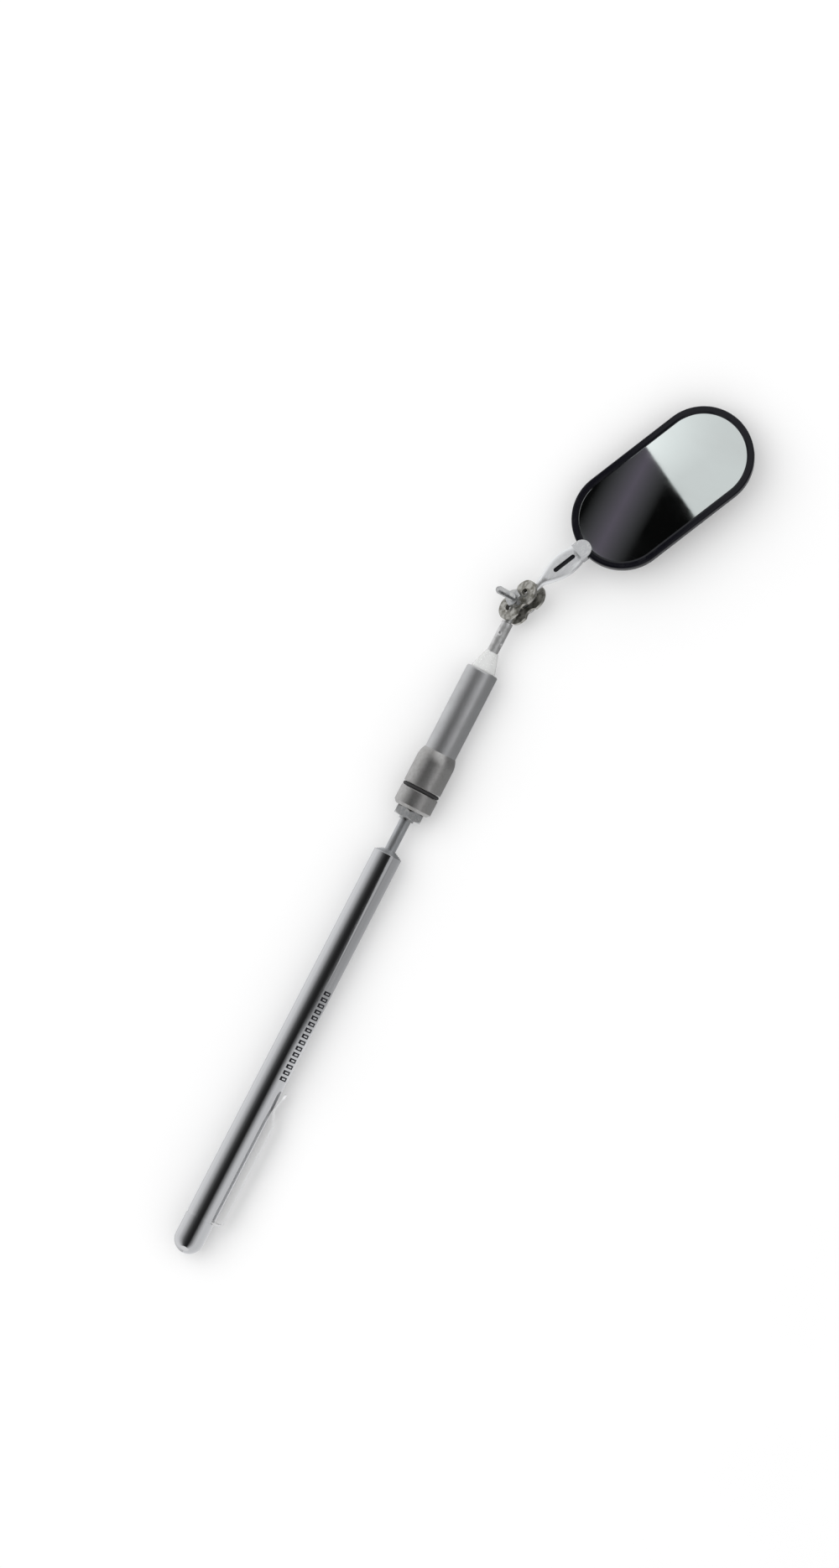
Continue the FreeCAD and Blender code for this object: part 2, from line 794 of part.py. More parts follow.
def mirror_stem():
    leaf_end = stem_length - 0.9
    sections = [
        stem_section(0, neck_radius + 0.05, neck_radius + 0.05),
        stem_section(1.2, ball_rod_radius, stem_half_thickness),
        stem_section(stem_length * 0.28, stem_widest * 0.78, stem_half_thickness),
        stem_section(stem_length * 0.53, stem_widest, stem_half_thickness),
        stem_section(stem_length * 0.78, stem_widest * 0.93, stem_half_thickness),
        stem_section(leaf_end, stem_end_half_width, half_frame),
    ]
    leaf = Part.makeLoft(sections, True, False)
    jaw = Part.makeBox(
        1.4, 2 * stem_end_half_width, mirror_thickness + 2 * tongue_thickness,
        vector(leaf_end - 0.5, -stem_end_half_width, -half_frame - tongue_thickness))
    jaw = jaw.common(Part.makeCylinder(
        half_frame + tongue_thickness + 1.2, 4 * stem_end_half_width,
        vector(leaf_end + 2.0, -2 * stem_end_half_width, 0), vector(0, 1, 0)))
    front = slab(
        front_tongue_length + 2.2 * stem_end_half_width, 2 * stem_end_half_width,
        half_frame, half_frame + tongue_thickness,
        stem_length + front_tongue_length / 2 - 1.1 * stem_end_half_width)
    back = slab(
        back_tongue_length + 2.2 * stem_end_half_width, 2 * stem_end_half_width,
        -half_frame - tongue_thickness, -half_frame,
        stem_length + back_tongue_length / 2 - 1.1 * stem_end_half_width)
    beyond = Part.makeBox(
        back_tongue_length + 6, 6 * stem_end_half_width, 4 * mirror_thickness,
        vector(leaf_end - 0.1, -3 * stem_end_half_width, -2 * mirror_thickness))
    body = leaf.fuse(jaw).fuse(front.common(beyond)).fuse(back.common(beyond))
    body = body.cut(slab(
        stem_slot_length, stem_slot_width, stem_slot_floor, mirror_thickness,
        stem_slot_centre))
    body = body.cut(slab(
        mirror_length + 2 * fitting_gap, mirror_width + 2 * fitting_gap,
        -half_frame, half_frame, stem_length + mirror_length / 2))
    for centre in rivet_centres():
        body = body.cut(Part.makeCylinder(
            rivet_radius, 2 * mirror_thickness, vector(centre, 0, -2 * mirror_thickness)))
    body = on_stem(body)
    shoulder = second_ball + neck_line * (ball_radius + fitting_gap)
    neck = Part.makeCylinder(
        neck_radius, neck_length - ball_radius - fitting_gap, shoulder, neck_line)
    elbow = Part.makeSphere(neck_radius + 0.05, stem_start)
    stud = Part.makeCylinder(
        stud_radius, ball_radius + fitting_gap + stud_depth,
        second_ball - neck_line * stud_depth, neck_line)
    return body.fuse(elbow).fuse(neck).fuse(stud).removeSplitter()


def rivet_centres():
    first = stem_length + frame_wall + 2.6
    return [first, first + rivet_spacing]


def stem_rivets():
    """Two rivets through the back tongue and the back plate."""
    rivets = []
    outside = -half_frame - tongue_thickness
    for centre in rivet_centres():
        shank = Part.makeCylinder(
            rivet_radius, tongue_thickness + back_plate_thickness,
            vector(centre, 0, outside))
        dome = Part.makeSphere(
            rivet_head_radius * 1.25,
            vector(centre, 0, outside + rivet_head_radius * 0.75))
        below = Part.makeBox(
            4, 4, 4, vector(centre - 2, -2, outside - 4))
        rivets.append(on_stem(shank.fuse(dome.common(below))))
    return Part.makeCompound(rivets)


pocket_length = mirror_length - 2 * frame_wall
pocket_width = mirror_width - 2 * frame_wall
glass_top = half_frame - lip_thickness
glass_low = glass_top - glass_thickness
pad_low = glass_low - pad_thickness


def mirror_frame():
    body = slab(mirror_length, mirror_width, -half_frame, half_frame)
    body = body.makeFillet(frame_edge, edges_at_height(body, half_frame))
    body = body.makeFillet(frame_edge / 2, edges_at_height(body, -half_frame))
    body = body.cut(slab(pocket_length, pocket_width, -half_frame, glass_top))
    opening_length = mirror_length - 2 * frame_lip
    opening_width = mirror_width - 2 * frame_lip
    opening = slab(opening_length, opening_width, glass_top - 1, half_frame)
    body = body.cut(opening)
    inner_edges = []
    for edge in edges_at_height(body, half_frame):
        box = edge.BoundBox
        if max(abs(box.YMin), abs(box.YMax)) < opening_width / 2 + 0.01:
            inner_edges.append(edge)
    return on_mirror(body.makeChamfer(lip_bevel, inner_edges))


def mirror_glass():
    plate = slab(
        pocket_length - 2 * fitting_gap, pocket_width - 2 * fitting_gap,
        glass_low, glass_top)
    return on_mirror(plate.makeChamfer(0.2, edges_at_height(plate, glass_low)))


def backing_pad():
    return on_mirror(slab(
        pocket_length - 6 * fitting_gap, pocket_width - 6 * fitting_gap,
        pad_low, glass_low))


def back_plate():
    plate = slab(pocket_length, pocket_width, -half_frame, pad_low)
    offset = stem_length + mirror_length / 2
    for centre in rivet_centres():
        plate = plate.cut(Part.makeCylinder(
            rivet_radius, mirror_thickness, vector(centre - offset, 0, -mirror_thickness)))
    return on_mirror(plate)


# ------------------------------------------------------------------- the object

nodes = {
    "end_cap": end_cap(),
    "pocket_clip": pocket_clip(),
    "handle_tube": handle_tube(),
}
for stage in range(1, stage_count + 1):
    nodes["stage_%d_tube" % stage] = telescope_tube(stage, stages_start_x)
    nodes["stage_%d_bushing" % stage] = telescope_bushing(stage, stage_radius(stage))
nodes.update({
    "rod_bushing": telescope_bushing(
        stage_count + 1, rod_radius - tube_gap + running_clearance),
    "rod": rod(),
    "tail_nut": tail_nut(),
    "tail_cap": tail_cap(),
    "seal_ring": seal_ring(),
    "contact_spring": contact_spring(),
    "switch_collar": switch_collar(),
    "head_tube": head_tube(),
    "battery_sleeve": battery_sleeve(),
    "button_cells": button_cells(),
    "front_contact": front_contact(),
    "led_leads": led_leads(),
    "resistor": resistor(),
    "rod_anchor": rod_anchor(),
    "led_board": led_board(),
    "leds": leds(),
    "nose_cone": nose_cone(),
    "ball_rod": ball_rod(),
    "rod_ball": rod_ball(),
    "clamp_plate_nut_side": clamp_plate(1),
    "clamp_plate_head_side": clamp_plate(-1),
    "clamp_washer": clamp_washer(),
    "clamp_nut": clamp_nut(),
    "clamp_screw": clamp_screw(),
    "mirror_ball": mirror_ball(),
    "mirror_stem": mirror_stem(),
    "stem_rivets": stem_rivets(),
    "mirror_frame": mirror_frame(),
    "mirror_glass": mirror_glass(),
    "backing_pad": backing_pad(),
    "back_plate": back_plate(),
})

# The origin is the middle of the bounding box, on the surface the tool lies on.
whole = Part.makeCompound(list(nodes.values())).optimalBoundingBox(False, False)
origin = vector(
    (whole.XMin + whole.XMax) / 2, (whole.YMin + whole.YMax) / 2, whole.ZMin)


def main():
    os.makedirs("parts", exist_ok=True)
    for name, shape in nodes.items():
        placed_shape = shape.copy()
        placed_shape.translate(origin * -1)
        placed_shape.exportStep("parts/%s.step" % name)
        print("%-22s %3d solid(s) %9.3f mm3 %s" % (
            name, len(shape.Solids), shape.Volume, "valid" if shape.isValid() else "INVALID"))


main()
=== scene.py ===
# %% [markdown]
# # A telescoping inspection mirror
#
# The tool lies on a pale table, glass up: a chrome handle with a pocket clip, a
# light head with two collars, a double ball joint and an oval mirror. Its pieces
# come in already modelled, at their true size and place. This lesson gives each
# of them the surface that the real piece has, and then sets the light and camera.
#
# Shiny metal has hardly any colour of its own. What we see on it is the room, so
# half of the work here is a finish and the other half is what that finish mirrors.

# %% Load the pieces
import json
import math

import bmesh
import bpy
from mathutils import Matrix, Vector


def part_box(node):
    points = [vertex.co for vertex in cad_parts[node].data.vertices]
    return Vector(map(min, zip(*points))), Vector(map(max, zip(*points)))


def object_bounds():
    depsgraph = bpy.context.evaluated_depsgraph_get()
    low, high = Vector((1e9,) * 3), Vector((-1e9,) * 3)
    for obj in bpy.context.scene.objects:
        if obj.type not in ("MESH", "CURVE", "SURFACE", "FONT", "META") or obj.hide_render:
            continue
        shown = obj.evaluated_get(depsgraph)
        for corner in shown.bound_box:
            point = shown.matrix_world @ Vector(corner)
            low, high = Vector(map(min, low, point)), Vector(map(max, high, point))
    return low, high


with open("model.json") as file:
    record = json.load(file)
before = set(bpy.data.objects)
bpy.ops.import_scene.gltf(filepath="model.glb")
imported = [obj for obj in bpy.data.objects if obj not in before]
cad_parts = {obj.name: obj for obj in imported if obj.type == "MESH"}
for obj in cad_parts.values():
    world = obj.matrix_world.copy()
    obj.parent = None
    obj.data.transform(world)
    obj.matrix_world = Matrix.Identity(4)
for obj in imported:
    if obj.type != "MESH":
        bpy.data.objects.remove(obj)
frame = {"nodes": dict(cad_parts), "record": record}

cad_low, cad_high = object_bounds()
nodes = frame["nodes"]
print("pieces:", len(nodes), "size:", [round(v, 4) for v in cad_high - cad_low])

# %% [markdown]
# ## Where things are
#
# What follows is placed from the pieces themselves. The handle, the collars and the
# light tube share one straight line. The end cap's box gives where that line starts
# and how high it lies. The glass has a mount in the record, which gives its middle
# and which way it faces. Its long direction is level and square to that.


# %% The tool's line and the mirror's directions
def middle(node):
    low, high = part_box(node)
    return (low + high) / 2


MM = 1000.0                # millimetres in a metre
UP = Vector((0, 0, 1))

cap_middle = middle("end_cap")
line_start = Vector((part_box("end_cap")[0].x, cap_middle.y, cap_middle.z))
mounts = {mount["name"]: mount for mount in frame["record"]["mounts"]}
glass_centre = Vector(mounts["mirror_face"]["pos_m"])
glass_normal = Vector(mounts["mirror_face"]["axis"]).normalized()
level_way = glass_normal.cross(UP).normalized()
mirror_way = -level_way if level_way.x < 0 else level_way
glass_side = glass_normal.cross(mirror_way)
print("tool line starts at", [round(v, 4) for v in line_start])
print("mirror's long way", [round(v, 3) for v in mirror_way])

# %% [markdown]
# ## Writing shaders as sums
#
# A material is a graph of nodes. Drawing a graph in code gets long, so one small
# class stands for "a value that comes out of a node". Adding or multiplying two of
# them makes the Math node that does it, so a mask reads like ordinary arithmetic.
# The reflected forms, such as `__rsub__`, are what make `1 - mask` work.


# %% A value that comes out of a node
class Wire:
    def __init__(self, finish, socket):
        self.finish = finish
        self.socket = socket

    def sum(self, operation, first, second=0.0):
        return self.finish.add("ShaderNodeMath", {"operation": operation}, {0: first, 1: second})

    def __add__(self, other):
        return self.sum("ADD", self, other)

    def __sub__(self, other):
        return self.sum("SUBTRACT", self, other)

    def __rsub__(self, other):
        return self.sum("SUBTRACT", other, self)

    def __mul__(self, other):
        return self.sum("MULTIPLY", self, other)

    def __truediv__(self, other):
        return self.sum("DIVIDE", self, other)

    def __gt__(self, other):
        return self.sum("GREATER_THAN", self, other)

    def __lt__(self, other):
        return self.sum("LESS_THAN", self, other)

    def __mod__(self, other):
        return self.sum("FLOORED_MODULO", self, other)

    def __abs__(self):
        return self.sum("ABSOLUTE", self)

    __radd__ = __add__
    __rmul__ = __mul__

    def clip(self):
        return self.finish.add("ShaderNodeClamp", {}, {"Value": self})


# %% [markdown]
# A finish is one material. Its `add` method makes any other node: the type, then
# the settings, which decide what sockets the node has, then what goes in them. The
# class also works out where a point is, in millimetres from the start of the tool's
# line, because the marks on a surface are easiest to think of at that scale. `around`
# is the angle round that line in degrees, with zero straight up.


# %% A finish
class Finish:
    def __init__(self, name):
        self.material = bpy.data.materials.new(name)
        self.material.use_nodes = True
        self.tree = self.material.node_tree
        self.tree.nodes.clear()
        place = self.add("ShaderNodeTexCoord", {}, {}, "Object")
        from_line = self.add("ShaderNodeVectorMath", {"operation": "SUBTRACT"},
                             {0: place, 1: line_start})
        self.point = self.add("ShaderNodeVectorMath", {"operation": "SCALE"},
                              {0: from_line, "Scale": MM})
        parts = self.add("ShaderNodeSeparateXYZ", {}, {0: self.point}).socket.node
        self.x, self.y, self.z = [Wire(self, output) for output in parts.outputs]

    def add(self, kind, settings, sockets, out=0):
        node = self.tree.nodes.new(kind)
        stops = settings.pop("stops", None)
        for key, value in settings.items():
            setattr(node, key, value)
        if stops:
            self.set_stops(node.color_ramp, stops)
        for key, value in sockets.items():
            if isinstance(value, Wire):
                self.tree.links.new(value.socket, node.inputs[key])
            else:
                node.inputs[key].default_value = value
        return Wire(self, node.outputs[out])

    def set_stops(self, ramp, stops):
        while len(ramp.elements) > 1:
            ramp.elements.remove(ramp.elements[-1])
        for index, (place, shade) in enumerate(stops):
            element = ramp.elements[0] if index == 0 else ramp.elements.new(place)
            element.position = place
            element.color = (shade, shade, shade, 1.0)

    def ramp(self, value, stops):
        return self.add("ShaderNodeValToRGB", {"stops": stops}, {"Fac": value})

    def stretched(self, x, y, z):
        return self.add("ShaderNodeVectorMath", {"operation": "MULTIPLY"},
                        {0: self.point, 1: (x, y, z)})

    def around(self):
        turn = self.add("ShaderNodeMath", {"operation": "ARCTAN2"}, {0: self.y, 1: self.z})
        return turn * (180 / math.pi)

    def towards(self, way):
        return self.add("ShaderNodeVectorMath", {"operation": "DOT_PRODUCT"},
                        {0: self.point, 1: way}, "Value")

    def noise(self, size, detail=3.0, stretch=(1, 1, 1)):
        way = self.stretched(*stretch)
        return self.add("ShaderNodeTexNoise", {},
                        {"Vector": way, "Scale": 1 / size, "Detail": detail})

    def mix(self, mask, under, over):
        return self.add("ShaderNodeMix", {"data_type": "RGBA"}, {0: mask, 6: under, 7: over}, 2)

    def tint(self, mask, clear, covered):
        return self.mix(mask, (*clear, 1.0), (*covered, 1.0))

    def relief(self, height, depth_mm):
        return self.add("ShaderNodeBump", {},
                        {"Height": height, "Distance": depth_mm / MM, "Strength": 1.0})

    def surface(self, **sockets):
        named = {key.replace("_", " "): value for key, value in sockets.items()}
        shader = self.add("ShaderNodeBsdfPrincipled", {}, named)
        end = self.tree.nodes.new("ShaderNodeOutputMaterial")
        self.tree.links.new(shader.socket, end.inputs["Surface"])
        return self.material


def dress(material, *names):
    for name in names:
        nodes[name].data.materials.clear()
        nodes[name].data.materials.append(material)
    print(material.name, "on", ", ".join(names))


# %% [markdown]
# ## Marks that metal picks up
#
# Three marks turn up on nearly every metal piece, so each is written once. Fine
# scratches run along the tool, because it slides in and out of pockets. Smears are
# broad and soft, left by fingers. Lathe rings go round a piece that was turned.
# Each gives a value from 0, clean, to 1, fully marked.


# %% Scratches, smears and lathe rings
def scratches(finish, width=0.05, length=9.0):
    threads = finish.noise(width, 2.0, (width / length, 1, 1))
    return finish.ramp(threads, [(0.0, 0.0), (0.60, 0.0), (0.72, 1.0)])


def smears(finish, size=7.0):
    return finish.ramp(finish.noise(size, 4.0), [(0.35, 0.0), (0.7, 1.0)])


def lathe_rings(finish, pitch=0.16):
    wobble = finish.noise(3.0, 2.0) * 0.15
    turn = (finish.x + wobble) / pitch % 1.0
    return abs(turn - 0.5) * 2.0


# %% [markdown]
# ## Bright chrome of the handle
#
# The handle is a drawn steel tube with polished chrome on it. Chrome is a metal
# with little colour and a very low roughness. Three things stop it looking like a
# computer's idea of chrome: hairline scratches along the tube, faint smears, and a
# little waviness that bends the long reflections.
#
# The real handle has an etched mark along one side. In its place there is a plain
# row of equal bars. They are dull and dark because etching roughens the plating.


# %% Handle chrome
BARS_FROM, BARS_TO = 49.5, 75.0          # mm along the handle
BAR_PITCH = 1.7                          # mm from one bar to the next
BAR_WIDTH = 0.62                         # the rest of these are shares of the pitch
HOLLOW_FROM, HOLLOW_TO = 0.18, 0.42
BAR_SIDE, BAR_HALF, HOLLOW_HALF = -45, 18, 9      # degrees round the handle


def etched_bars(finish):
    from_side = abs(finish.around() - BAR_SIDE)
    step = (finish.x - BARS_FROM) % BAR_PITCH / BAR_PITCH
    row = (finish.x > BARS_FROM) * (finish.x < BARS_TO)
    bar = (from_side < BAR_HALF) * (step < BAR_WIDTH)
    hollow = (from_side < HOLLOW_HALF) * (step > HOLLOW_FROM) * (step < HOLLOW_TO)
    return row * bar * (1 - hollow)


def handle_chrome():
    finish = Finish("handle chrome")
    bars = etched_bars(finish)
    hair = scratches(finish)
    smear = smears(finish)
    colour = finish.tint(bars, (0.63, 0.635, 0.645), (0.035, 0.035, 0.04))
    rough = (0.045 + hair * 0.05 + smear * 0.035 + bars * 0.35).clip()
    waves = finish.noise(5.0, 1.0, (0.12, 1, 1)) * 0.6 + hair * -0.06 - bars * 0.4
    return finish.surface(Base_Color=colour, Metallic=1.0, Roughness=rough,
                          Normal=finish.relief(waves, 0.02))


dress(handle_chrome(), "handle_tube", "end_cap")

# %% [markdown]
# ## Chrome of the inner tubes and the rod
#
# The inner tubes slide through bronze sleeves, so their chrome carries rub marks:
# long, straight and closer together than the handle's. A trace of oil from the
# sleeves dulls it in patches.


# %% Tube chrome
def tube_chrome():
    finish = Finish("tube chrome")
    rubs = scratches(finish, 0.07, 24.0)
    oil = smears(finish, 4.0)
    colour = finish.tint(oil, (0.55, 0.565, 0.58), (0.47, 0.475, 0.48))
    rough = 0.40 + rubs * 0.08 + oil * 0.08
    return finish.surface(Base_Color=colour, Metallic=1.0, Roughness=rough,
                          Normal=finish.relief(rubs * -1.0, 0.006))


dress(tube_chrome(), "stage_1_tube", "stage_2_tube", "stage_3_tube", "stage_4_tube", "rod")

# %% [markdown]
# ## The pocket clip
#
# The clip is spring strip, cut and bent and then tumbled in a barrel with stones
# before plating. That gives a pale, silky face rather than a mirror one, with tiny
# pits all over. Only a third of its shading is metal, which is what keeps it pale.


# %% Clip finish
def clip_chrome():
    finish = Finish("clip chrome")
    pits = finish.ramp(finish.noise(0.22, 4.0), [(0.3, 1.0), (0.5, 0.0)])
    rubs = scratches(finish, 0.06, 3.0)
    colour = finish.tint(pits, (0.93, 0.935, 0.94), (0.80, 0.80, 0.81))
    rough = 0.34 + pits * 0.12 - rubs * 0.08
    return finish.surface(Base_Color=colour, Metallic=0.35, Roughness=rough,
                          Normal=finish.relief(pits * -1.0 - rubs * 0.3, 0.012))


dress(clip_chrome(), "pocket_clip")

# %% [markdown]
# ## Satin collars
#
# The two collars are turned and then nickel plated without polishing, so the marks
# of the lathe stay: fine rings that spread a reflection along the tool. Nickel is
# warmer than chrome. Fingers twist these collars, so grime and smears darken them.


# %% Collar nickel
def collar_nickel():
    finish = Finish("collar nickel")
    rings = lathe_rings(finish, 0.14)
    smear = smears(finish, 3.5)
    grime = finish.ramp(finish.noise(0.7, 5.0), [(0.45, 0.0), (0.75, 1.0)])
    colour = finish.tint(grime * 0.5 + smear * 0.3, (0.50, 0.495, 0.485), (0.37, 0.36, 0.345))
    rough = 0.29 + rings * 0.05 + smear * 0.07 + grime * 0.06
    return finish.surface(Base_Color=colour, Metallic=1.0, Roughness=rough,
                          Normal=finish.relief(rings + grime * 0.4, 0.007))


dress(collar_nickel(), "tail_cap", "switch_collar")

# %% [markdown]
# ## The light tube
#
# The tube that holds the cells is drawn like the handle, but its plating is only
# lightly buffed. The brush went along the tube, so its streaks are long and the
# reflection of the dark stripe overhead comes out grey and soft at its edges.


# %% Head chrome
def head_chrome():
    finish = Finish("head chrome")
    brush = finish.noise(0.05, 2.0, (0.006, 1, 1))
    hair = scratches(finish, 0.08, 14.0)
    smear = smears(finish, 5.0)
    colour = finish.tint(smear * 0.6, (0.62, 0.625, 0.63), (0.53, 0.53, 0.53))
    rough = 0.33 + brush * 0.08 + hair * 0.06 + smear * 0.05
    return finish.surface(Base_Color=colour, Metallic=1.0, Roughness=rough,
                          Normal=finish.relief(brush + hair * -0.6, 0.003))


dress(head_chrome(), "head_tube")

# %% [markdown]
# ## Nuts and the screw
#
# These are small bought parts: bright zinc on steel. Zinc has a faint blue-grey
# bloom that comes and goes over a millimetre or so, and small nicks from handling.


# %% Nut and screw steel
def nut_steel():
    finish = Finish("nut steel")
    bloom = finish.ramp(finish.noise(0.9, 4.0), [(0.3, 0.0), (0.7, 1.0)])
    nicks = finish.ramp(finish.noise(0.25, 3.0), [(0.58, 0.0), (0.66, 1.0)])
    colour = finish.tint(bloom, (0.60, 0.60, 0.59), (0.43, 0.44, 0.45))
    rough = 0.22 + bloom * 0.14 + nicks * 0.1
    return finish.surface(Base_Color=colour, Metallic=1.0, Roughness=rough,
                          Normal=finish.relief(bloom * 0.6 - nicks, 0.01))


dress(nut_steel(), "tail_nut", "clamp_nut", "clamp_screw")

# %% [markdown]
# ## Pressed plates of the joint
#
# The plates are stamped from sheet and zinc plated in a barrel. Their surface is
# dull and slightly yellow. Dirt lies on it in patches, and the tumbling leaves many
# short dents, so both a broad and a fine noise go into it.


# %% Plate zinc
def plate_zinc():
    finish = Finish("plate zinc")
    dents = finish.noise(0.45, 5.0)
    dirt = finish.ramp(finish.noise(1.1, 6.0), [(0.42, 0.0), (0.62, 1.0)])
    colour = finish.tint(dirt, (0.52, 0.51, 0.475), (0.28, 0.27, 0.235))
    rough = 0.30 + dirt * 0.22 + dents * 0.08
    return finish.surface(Base_Color=colour, Metallic=1.0, Roughness=rough,
                          Normal=finish.relief(dents - dirt * 0.3, 0.022))


dress(plate_zinc(), "clamp_plate_nut_side", "clamp_plate_head_side", "clamp_washer")

# %% [markdown]
# ## Balls and the ball rod
#
# The balls are hard steel, polished, and worn dull in small patches where the plates
# grip them. The rod that carries the first one is duller all over: it is bar stock,
# crimped in two places and left as the die left it.


# %% Ball steel and joint steel
def ball_steel():
    finish = Finish("ball steel")
    wear = finish.ramp(finish.noise(0.35, 4.0), [(0.45, 0.0), (0.65, 1.0)])
    colour = finish.tint(wear, (0.62, 0.62, 0.62), (0.46, 0.45, 0.43))
    return finish.surface(Base_Color=colour, Metallic=1.0, Roughness=0.12 + wear * 0.16,
                          Normal=finish.relief(wear * -1.0, 0.006))


def joint_steel():
    finish = Finish("joint steel")
    drawn = scratches(finish, 0.06, 5.0)
    stain = finish.ramp(finish.noise(1.3, 5.0), [(0.4, 0.0), (0.7, 1.0)])
    colour = finish.tint(stain, (0.78, 0.78, 0.775), (0.58, 0.58, 0.57))
    rough = 0.42 + drawn * 0.08 + stain * 0.10
    return finish.surface(Base_Color=colour, Metallic=1.0, Roughness=rough,
                          Normal=finish.relief(stain * 0.5 - drawn, 0.006))


dress(ball_steel(), "rod_ball", "mirror_ball")
dress(joint_steel(), "ball_rod")

# %% [markdown]
# ## The stem
#
# The stem is pressed from strip, folded and chrome plated after it was formed. The
# press leaves it slightly rippled, which breaks up its reflections. Its plating is
# pale and a little cloudy, so the metal is mixed with a share of plain matt grey, by
# a Metallic value below one. Down in the slot the colour is painted near black and
# made rougher, a painted shade for the recess. The slot is found by measuring from
# the glass: how high, how far aside and how far along.


# %% Stem chrome and rivets
SLOT_HALF = 0.565                  # mm aside of the glass's middle
SLOT_LOW, SLOT_HIGH = -0.9, 0.34   # mm above the glass
SLOT_FROM, SLOT_TO = -34.3, -27.5  # mm along from the glass's middle


def in_slot(finish):
    glass_point = (glass_centre - line_start) * MM
    height = finish.towards(glass_normal) - glass_point.dot(glass_normal)
    aside = finish.towards(glass_side) - glass_point.dot(glass_side)
    along = finish.towards(mirror_way) - glass_point.dot(mirror_way)
    across = (abs(aside) < SLOT_HALF) * (height > SLOT_LOW) * (height < SLOT_HIGH)
    return across * (along > SLOT_FROM) * (along < SLOT_TO)


def stem_chrome():
    finish = Finish("stem chrome")
    ripple = finish.noise(2.2, 1.0)
    hair = scratches(finish, 0.05, 4.0)
    slot_shade = in_slot(finish)
    plated = finish.tint(hair * 0.5, (0.86, 0.87, 0.88), (0.70, 0.70, 0.71))
    # painted shade: inside the slot the stem is coloured near black
    colour = finish.mix(slot_shade, plated, (0.04, 0.04, 0.045, 1.0))
    rough = 0.24 + hair * 0.08 + slot_shade * 0.2
    return finish.surface(Base_Color=colour, Metallic=0.8, Roughness=rough,
                          Normal=finish.relief(ripple - hair * 0.1, 0.03))


def rivet_steel():
    finish = Finish("rivet steel")
    hammered = finish.noise(0.4, 4.0)
    colour = finish.tint(hammered, (0.55, 0.55, 0.55), (0.36, 0.36, 0.36))
    return finish.surface(Base_Color=colour, Metallic=1.0, Roughness=0.26 + hammered * 0.2,
                          Normal=finish.relief(hammered, 0.03))


dress(stem_chrome(), "mirror_stem")
dress(rivet_steel(), "stem_rivets")

# %% [markdown]
# ## The mirror
#
# The glass is silvered on its back. It needs no separate sheet of glass in front: a
# metal with a slightly green-grey colour and almost no roughness looks the same, and
# it costs less to render. Faint wipe marks show only where something bright ends.


# %% Mirror silver
def mirror_silver():
    finish = Finish("mirror silver")
    wipes = finish.ramp(finish.noise(9.0, 3.0, (1, 0.35, 1)), [(0.4, 0.0), (0.75, 1.0)])
    dust = finish.ramp(finish.noise(0.12, 2.0), [(0.74, 0.0), (0.78, 1.0)])
    colour = finish.tint(wipes * 0.5 + dust * 0.3, (0.62, 0.665, 0.65), (0.57, 0.60, 0.585))
    rough = 0.012 + wipes * 0.03 + dust * 0.1
    return finish.surface(Base_Color=colour, Metallic=1.0, Roughness=rough,
                          Normal=finish.relief(wipes, 0.0006))


dress(mirror_silver(), "mirror_glass")

# %% [markdown]
# ## The black frame
#
# The frame round the glass is moulded in black plastic. A moulding shows the faint
# texture of its mould and gets paler where it rubs, so its colour varies between
# near black and dark grey, and small scratches lift its roughness.


# %% Frame black
def frame_black():
    finish = Finish("frame black")
    mould = finish.noise(0.16, 3.0)
    rubs = finish.ramp(finish.noise(1.6, 5.0, (0.4, 1, 1)), [(0.55, 0.0), (0.75, 1.0)])
    colour = finish.tint(rubs * 0.6, (0.003, 0.003, 0.0055), (0.010, 0.010, 0.013))
    rough = 0.10 + mould * 0.06 + rubs * 0.12
    return finish.surface(Base_Color=colour, Roughness=rough, Specular_IOR_Level=0.22,
                          Normal=finish.relief(mould + rubs * 0.4, 0.003))


dress(frame_black(), "mirror_frame")

# %% [markdown]
# ## The back of the mirror
#
# A pressed plate closes the back, stoved in satin black paint. Paint on sheet metal
# has "orange peel", a soft unevenness about half a millimetre across. Under it lies
# a foam pad, which shows as a line of small open cells at the edge.


# %% Back plate and pad
def back_black():
    finish = Finish("back black")
    peel = finish.noise(0.5, 2.0)
    chips = finish.ramp(finish.noise(0.8, 6.0), [(0.70, 0.0), (0.72, 1.0)])
    colour = finish.tint(chips, (0.018, 0.018, 0.019), (0.20, 0.20, 0.20))
    return finish.surface(Base_Color=colour, Roughness=0.36 + chips * 0.15,
                          Normal=finish.relief(peel - chips, 0.012))


def pad_foam():
    finish = Finish("pad foam")
    cells = finish.add("ShaderNodeTexVoronoi", {}, {"Vector": finish.point, "Scale": 3.0})
    colour = finish.tint(cells, (0.05, 0.05, 0.05), (0.16, 0.16, 0.16))
    return finish.surface(Base_Color=colour, Roughness=0.9,
                          Normal=finish.relief(cells, 0.1))


dress(back_black(), "back_plate")
dress(pad_foam(), "backing_pad")

# %% [markdown]
# ## Rubber and clear plastic
#
# The black ring between the collars is rubber: dark, dull, with a fine bloom. The
# cone at the front is acrylic, frosted inside so that it spreads the light of the
# lamps. It lets some light through and scatters the rest, so it looks milky.


# %% Seal rubber and the cone
def seal_rubber():
    finish = Finish("seal rubber")
    bloom = finish.noise(0.5, 4.0)
    colour = finish.tint(bloom, (0.010, 0.010, 0.011), (0.035, 0.034, 0.033))
    return finish.surface(Base_Color=colour, Roughness=0.5 + bloom * 0.2,
                          Normal=finish.relief(bloom, 0.02))


